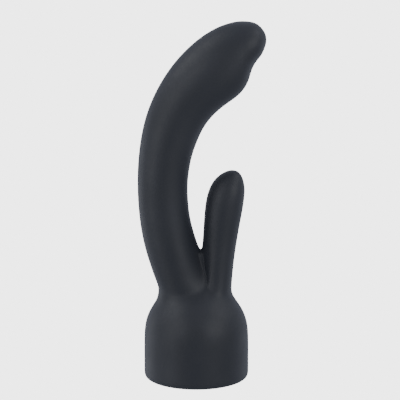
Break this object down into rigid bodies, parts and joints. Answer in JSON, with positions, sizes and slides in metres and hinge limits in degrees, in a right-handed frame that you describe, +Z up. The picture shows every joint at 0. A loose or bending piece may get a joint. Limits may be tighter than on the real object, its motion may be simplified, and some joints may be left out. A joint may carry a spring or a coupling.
{
  "type": "wand massager attachment",
  "caption": "Slip-on silicone sleeve for a wand massager's head: open bell socket below, a long curved arm with a bulbous tip and a short straight arm above.",
  "frame": {"origin": "centre of the seat, the flat ceiling of the socket that the wand's head bears on", "axes": "+Z up along the socket's axis, away from the wand; +X towards the short arm and the long arm's tip; both arms lie in the plane Y = 0"},
  "size_m": [0.0659, 0.054, 0.188],
  "materials": {
    "silicone_base": "matte near-black blue-grey silicone",
    "silicone_long_arm": "matte near-black blue-grey silicone",
    "silicone_short_arm": "matte near-black blue-grey silicone",
    "nylon_insert": "natural moulded nylon",
    "nylon_long_core": "natural moulded nylon",
    "nylon_short_core": "natural moulded nylon"
  },
  "bodies": {
    "base": {"base_sleeve": "silicone_base", "socket_insert": "nylon_insert"},
    "long_arm": {"long_arm_sleeve": "silicone_long_arm", "long_arm_core": "nylon_long_core"},
    "short_arm": {"short_arm_sleeve": "silicone_short_arm", "short_arm_core": "nylon_short_core"}
  },
  "joints": [
    {"name": "long_arm_flex", "type": "hinge", "parent": "base", "child": "long_arm", "pos_m": [-0.0162, 0, 0.048], "axis": [0, 1, 0], "range_deg": [-8, 8], "stiffness_Nm_per_rad": 1.5},
    {"name": "short_arm_flex", "type": "hinge", "parent": "base", "child": "short_arm", "pos_m": [0.0132, 0, 0.043], "axis": [0, 1, 0], "range_deg": [-6, 18], "stiffness_Nm_per_rad": 0.8}
  ]
}
